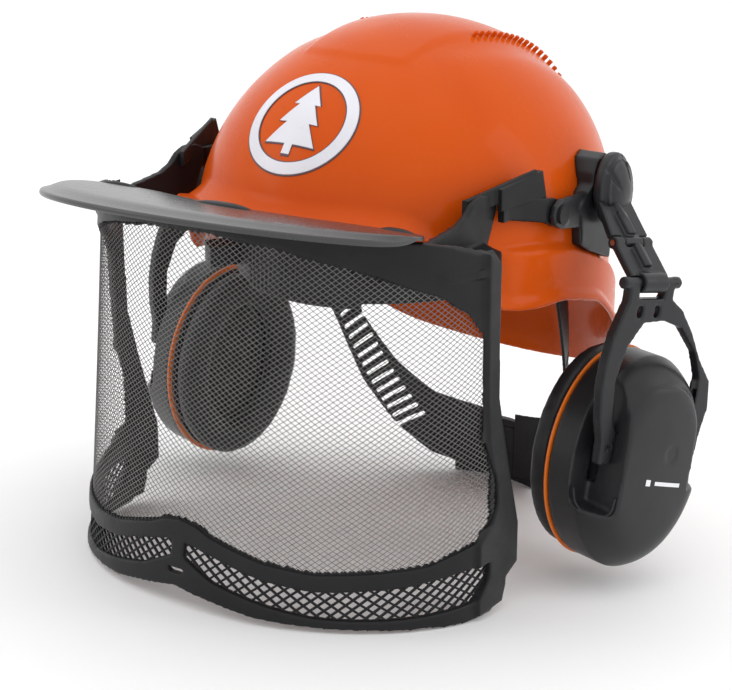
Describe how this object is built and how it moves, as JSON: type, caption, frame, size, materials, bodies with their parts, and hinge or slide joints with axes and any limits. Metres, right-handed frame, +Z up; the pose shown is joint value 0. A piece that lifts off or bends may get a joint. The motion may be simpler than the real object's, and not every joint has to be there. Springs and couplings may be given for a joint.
{
  "type": "hard hat",
  "caption": "Forestry hard hat with a lifting wire-mesh visor under a grey brim, two ear muffs on folding arms, and an adjustable harness.",
  "frame": {"origin": "centre of the dome at the wearer's head: the middle of the widest line of the shell, on the middle plane", "axes": "+X is the wearer's left, -Y is the front, +Z is up"},
  "size_m": [0.3554, 0.3711, 0.311],
  "materials": {
    "shell_orange": "glossy",
    "emblem_silver": "satin",
    "harness_black": "matte",
    "harness_textile": "woven",
    "sweat_fabric": "soft",
    "visor_black": "matte",
    "mesh_metal": "satin",
    "brim_grey": "satin",
    "muff_black": "satin",
    "ring_orange": "satin",
    "cushion_black": "soft vinyl",
    "foam_dark": "open foam",
    "pin_steel": "brushed"
  },
  "bodies": {
    "helmet": {"crown_strap_1": "harness_textile", "crown_strap_2": "harness_textile", "crown_strap_3": "harness_textile", "front_emblem": "emblem_silver", "headband": "harness_black", "nape_pad": "harness_black", "nape_strap_left": "harness_black", "nape_strap_right": "harness_black", "shell": "shell_orange", "side_bracket_left": "muff_black", "side_bracket_right": "muff_black", "suspension_clips": "harness_black", "sweatband": "sweat_fabric", "visor_pin_left": "pin_steel", "visor_pin_right": "pin_steel"},
    "visor": {"brim": "brim_grey", "brim_clip": "visor_black", "visor_arm_left": "visor_black", "visor_arm_right": "visor_black", "visor_frame": "visor_black", "visor_grille_left": "visor_black", "visor_grille_right": "visor_black", "visor_mesh": "mesh_metal", "visor_slider_left": "visor_black", "visor_slider_right": "visor_black"},
    "size_wheel": {"adjuster_wheel": "harness_black"},
    "cup_left": {"cup_backplate_left": "muff_black", "cup_ring_left": "ring_orange", "cup_shell_left": "muff_black", "ear_cushion_left": "cushion_black", "foam_insert_left": "foam_dark"},
    "cup_right": {"cup_backplate_right": "muff_black", "cup_ring_right": "ring_orange", "cup_shell_right": "muff_black", "ear_cushion_right": "cushion_black", "foam_insert_right": "foam_dark"},
    "muff_link_left": {"hinge_pin_left": "pin_steel", "lower_arm_left": "muff_black"},
    "muff_link_right": {"hinge_pin_right": "pin_steel", "lower_arm_right": "muff_black"},
    "cup_carrier_left": {"pivot_blocks_left": "muff_black"},
    "cup_carrier_right": {"pivot_blocks_right": "muff_black"},
    "muff_arm_left": {"pivot_knob_left": "muff_black", "upper_arm_left": "muff_black"},
    "muff_arm_right": {"pivot_knob_right": "muff_black", "upper_arm_right": "muff_black"},
    "muff_yoke_left": {"yoke_left": "muff_black"},
    "muff_yoke_right": {"yoke_right": "muff_black"}
  },
  "joints": [
    {"name": "visor_lift", "type": "hinge", "parent": "helmet", "child": "visor", "pos_m": [0, -0.026, 0.021], "axis": [-1, 0, 0], "range_deg": [0, 95]},
    {"name": "size_wheel_turn", "type": "hinge", "parent": "helmet", "child": "size_wheel", "pos_m": [0, 0.115, -0.18], "axis": [0, 1, 0], "continuous": true},
    {"name": "muff_swing_left", "type": "hinge", "parent": "helmet", "child": "muff_arm_left", "pos_m": [0.1162, 0.016, 0.0265], "axis": [1, 0, 0], "range_deg": [-8, 12]},
    {"name": "muff_fold_left", "type": "hinge", "parent": "muff_arm_left", "child": "muff_link_left", "pos_m": [0.13906, 0.00115, 0.0036], "axis": [-0.2706, -0.9436, 0.1908], "range_deg": [-3, 35]},
    {"name": "yoke_swing_left", "type": "hinge", "parent": "muff_link_left", "child": "muff_yoke_left", "pos_m": [0.15585, -0.00703, -0.01302], "axis": [-0.2706, -0.9436, 0.1908], "range_deg": [-6, 10]},
    {"name": "cup_tilt_left", "type": "hinge", "parent": "muff_yoke_left", "child": "cup_carrier_left", "pos_m": [0.15663, -0.0043, -0.10322], "axis": [-0.2706, -0.9436, 0.1908], "range_deg": [-8, 8]},
    {"name": "cup_height_left", "type": "slide", "parent": "cup_carrier_left", "child": "cup_left", "axis": [0.0526, 0.1834, 0.9816], "range_m": [-0.008, 0.008]},
    {"name": "muff_swing_right", "type": "hinge", "parent": "helmet", "child": "muff_arm_right", "pos_m": [-0.1162, 0.016, 0.0265], "axis": [1, 0, 0], "range_deg": [-8, 12]},
    {"name": "muff_fold_right", "type": "hinge", "parent": "muff_arm_right", "child": "muff_link_right", "pos_m": [-0.14197, 0.00621, 0.0051], "axis": [0.2706, 0.9436, -0.1908], "range_deg": [-3, 35]},
    {"name": "yoke_swing_right", "type": "hinge", "parent": "muff_link_right", "child": "muff_yoke_right", "pos_m": [-0.15915, 0.00747, -0.01302], "axis": [0.2706, 0.9436, -0.1908], "range_deg": [-6, 10]},
    {"name": "cup_tilt_right", "type": "hinge", "parent": "muff_yoke_right", "child": "cup_carrier_right", "pos_m": [-0.15837, 0.0102, -0.10322], "axis": [0.2706, 0.9436, -0.1908], "range_deg": [-8, 8]},
    {"name": "cup_height_right", "type": "slide", "parent": "cup_carrier_right", "child": "cup_right", "axis": [0.0526, 0.1834, 0.9816], "range_m": [-0.008, 0.008]}
  ]
}
